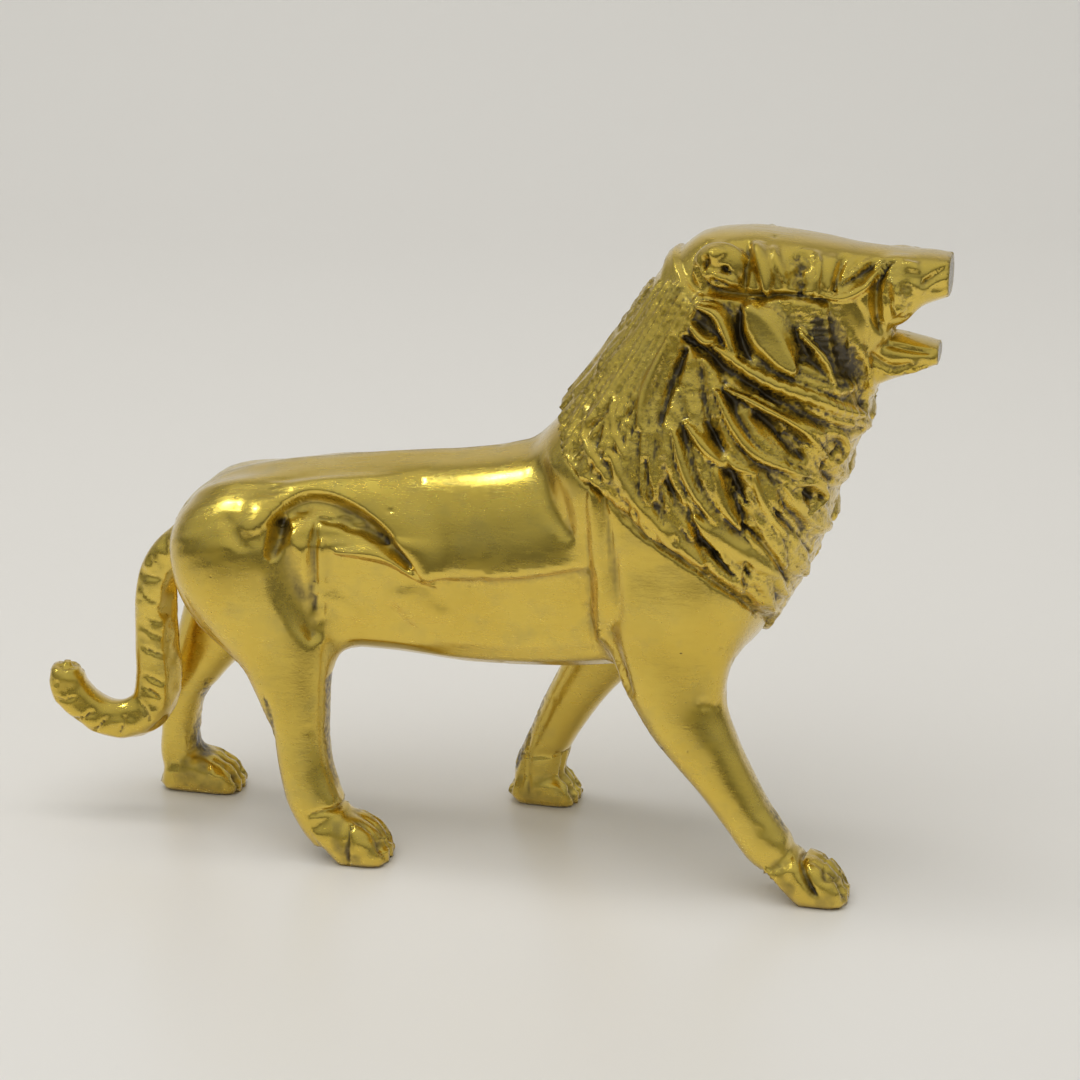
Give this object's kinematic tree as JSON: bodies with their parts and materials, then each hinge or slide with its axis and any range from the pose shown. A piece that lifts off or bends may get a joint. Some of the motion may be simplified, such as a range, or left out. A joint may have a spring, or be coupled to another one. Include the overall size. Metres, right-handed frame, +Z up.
{
  "type": "lion figurine",
  "caption": "Cast brass figurine of a walking lion with a carved mane, open jaws and a curled tail, standing on its own paws.",
  "frame": {"origin": "under the middle of the lion's box, on the ground plane of its paws", "axes": "+X towards the nose, +Y towards the lion's left flank, +Z up"},
  "size_m": [0.153, 0.0462, 0.1072],
  "materials": {
    "brass": "polished, with dark patina in the cuts"
  },
  "bodies": {
    "root": {"lion": "brass"}
  },
  "joints": []
}
